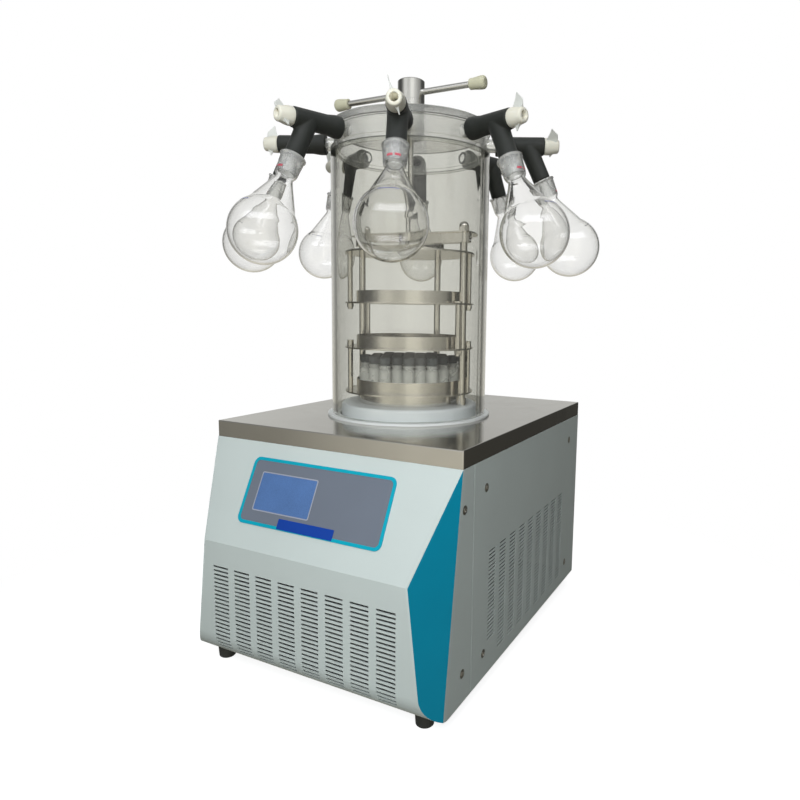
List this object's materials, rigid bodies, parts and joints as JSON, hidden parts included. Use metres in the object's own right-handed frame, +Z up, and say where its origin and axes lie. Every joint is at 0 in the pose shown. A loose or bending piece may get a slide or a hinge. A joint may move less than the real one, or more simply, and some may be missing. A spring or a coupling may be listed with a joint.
{
  "type": "freeze dryer",
  "caption": "Bench-top freeze dryer: steel cabinet with sloping control front and cold trap, clear chamber with a stoppering rack, and a manifold lid with valves holding pear flasks.",
  "frame": {"origin": "on the floor under the drying chamber's axis, at the middle of the base", "axes": "-Y towards the front with the control panel, +X to the right seen from the front, +Z up"},
  "size_m": [0.626, 0.626, 0.9533],
  "materials": {
    "cabinet_paint": "fine satin powder coat",
    "teal_trim": "satin",
    "teal_frame": "gloss",
    "panel_membrane": "semi-gloss",
    "display_glass": "gloss",
    "plate_steel": "bright brushed",
    "rack_steel": "polished",
    "hub_steel": "polished",
    "screw_steel": "dull",
    "zinc_sheet": "matte zinc",
    "foam": "matte foam",
    "copper": "bare copper",
    "black_enamel": "gloss enamel",
    "fin_aluminium": "mill finish",
    "fan_plastic": "matte",
    "black_plastic": "matte",
    "rocker_plastic": "gloss",
    "valve_brass": "satin",
    "lever_paint": "gloss",
    "black_rubber": "matte",
    "stopper_rubber": "matte",
    "seal_silicone": "satin",
    "base_plastic": "satin",
    "clear_acrylic": "clear acrylic",
    "clear_glass": "clear glass",
    "ground_glass": "frosted",
    "ivory_plastic": "satin"
  },
  "bodies": {
    "cabinet": {"base_pan": "zinc_sheet", "rubber_feet": "black_rubber", "side_panel_left": "cabinet_paint", "side_panel_right": "cabinet_paint", "rear_panel": "cabinet_paint", "front_bezel": "cabinet_paint", "corner_trim_left": "teal_trim", "corner_trim_right": "teal_trim", "top_plate": "plate_steel", "case_screws": "screw_steel", "panel_frame": "teal_frame", "control_panel": "panel_membrane", "display_screen": "display_glass", "cold_trap": "rack_steel", "trap_insulation": "foam", "evaporator_coil": "copper", "compressor": "black_enamel", "condenser": "fin_aluminium", "fan_motor": "zinc_sheet", "power_inlet": "black_plastic", "vacuum_port": "rack_steel", "drain_valve": "valve_brass", "sealing_ring": "seal_silicone", "base_disc": "base_plastic", "rack_drum": "rack_steel", "rack_posts": "rack_steel", "rack_bridge": "rack_steel", "acorn_nuts": "rack_steel", "shelf_3": "rack_steel", "tray_3": "rack_steel", "vials": "clear_glass", "stoppers": "stopper_rubber", "chamber_tube": "clear_acrylic", "manifold_ring": "clear_acrylic", "lid_plate": "clear_acrylic", "hub_base": "hub_steel", "valve_tees": "black_rubber", "joint_adapters": "ground_glass", "flasks": "clear_glass"},
    "fan": {"fan_blade": "fan_plastic"},
    "rocker": {"power_switch": "rocker_plastic"},
    "drain_lever": {"drain_lever": "lever_paint"},
    "handle": {"hub_cap": "hub_steel", "t_bar": "hub_steel", "bar_grips": "ivory_plastic"},
    "press_screw": {"press_screw": "screw_steel"},
    "press_plate": {"press_plate": "rack_steel"},
    "shelf_1": {"shelf_1": "rack_steel", "tray_1": "rack_steel"},
    "shelf_2": {"shelf_2": "rack_steel", "tray_2": "rack_steel"},
    "valve_knob_1": {"valve_knob_1": "ivory_plastic"},
    "valve_knob_2": {"valve_knob_2": "ivory_plastic"},
    "valve_knob_3": {"valve_knob_3": "ivory_plastic"},
    "valve_knob_4": {"valve_knob_4": "ivory_plastic"},
    "valve_knob_5": {"valve_knob_5": "ivory_plastic"},
    "valve_knob_6": {"valve_knob_6": "ivory_plastic"},
    "valve_knob_7": {"valve_knob_7": "ivory_plastic"},
    "valve_knob_8": {"valve_knob_8": "ivory_plastic"}
  },
  "joints": [
    {"name": "fan_spin", "type": "hinge", "parent": "cabinet", "child": "fan", "pos_m": [0, -0.2135, 0.111], "axis": [0, 1, 0], "continuous": true},
    {"name": "switch_rock", "type": "hinge", "parent": "cabinet", "child": "rocker", "pos_m": [-0.15, 0.2975, 0.108], "axis": [1, 0, 0], "range_deg": [0, 16]},
    {"name": "drain_turn", "type": "hinge", "parent": "cabinet", "child": "drain_lever", "pos_m": [-0.245, 0.09, 0.095], "axis": [0, 0, 1], "range_deg": [0, 90]},
    {"name": "handle_turn", "type": "hinge", "parent": "cabinet", "child": "handle", "pos_m": [0, 0, 0.9333], "axis": [0, 0, -1], "range_deg": [0, 1440]},
    {"name": "press_screw_slide", "type": "slide", "parent": "cabinet", "child": "press_screw", "axis": [0, 0, -1], "range_m": [0, 0.024]},
    {"name": "press_plate_slide", "type": "slide", "parent": "cabinet", "child": "press_plate", "axis": [0, 0, -1], "range_m": [0, 0.024]},
    {"name": "shelf_1_slide", "type": "slide", "parent": "cabinet", "child": "shelf_1", "axis": [0, 0, -1], "range_m": [0, 0.016]},
    {"name": "shelf_2_slide", "type": "slide", "parent": "cabinet", "child": "shelf_2", "axis": [0, 0, -1], "range_m": [0, 0.008]},
    {"name": "valve_1_turn", "type": "hinge", "parent": "cabinet", "child": "valve_knob_1", "pos_m": [0.09887, -0.20545, 0.849], "axis": [0.4337, -0.9011, 0], "range_deg": [0, 180]},
    {"name": "valve_2_turn", "type": "hinge", "parent": "cabinet", "child": "valve_knob_2", "pos_m": [0.21519, -0.07536, 0.849], "axis": [0.9438, -0.3305, 0], "range_deg": [0, 180]},
    {"name": "valve_3_turn", "type": "hinge", "parent": "cabinet", "child": "valve_knob_3", "pos_m": [0.20545, 0.09887, 0.849], "axis": [0.9011, 0.4337, 0], "range_deg": [0, 180]},
    {"name": "valve_4_turn", "type": "hinge", "parent": "cabinet", "child": "valve_knob_4", "pos_m": [0.07536, 0.21519, 0.849], "axis": [0.3305, 0.9438, 0], "range_deg": [0, 180]},
    {"name": "valve_5_turn", "type": "hinge", "parent": "cabinet", "child": "valve_knob_5", "pos_m": [-0.09887, 0.20545, 0.849], "axis": [-0.4337, 0.9011, 0], "range_deg": [0, 180]},
    {"name": "valve_6_turn", "type": "hinge", "parent": "cabinet", "child": "valve_knob_6", "pos_m": [-0.21519, 0.07536, 0.849], "axis": [-0.9438, 0.3305, 0], "range_deg": [0, 180]},
    {"name": "valve_7_turn", "type": "hinge", "parent": "cabinet", "child": "valve_knob_7", "pos_m": [-0.20545, -0.09887, 0.849], "axis": [-0.9011, -0.4337, 0], "range_deg": [0, 180]},
    {"name": "valve_8_turn", "type": "hinge", "parent": "cabinet", "child": "valve_knob_8", "pos_m": [-0.07536, -0.21519, 0.849], "axis": [-0.3305, -0.9438, 0], "range_deg": [0, 180]}
  ],
  "couplings": [
    {"joint": "press_screw_slide", "follows": "handle_turn", "m_per_rad": 0.00095493},
    {"joint": "press_plate_slide", "follows": "handle_turn", "m_per_rad": 0.00095493},
    {"joint": "shelf_1_slide", "follows": "handle_turn", "m_per_rad": 0.00063662},
    {"joint": "shelf_2_slide", "follows": "handle_turn", "m_per_rad": 0.00031831}
  ]
}
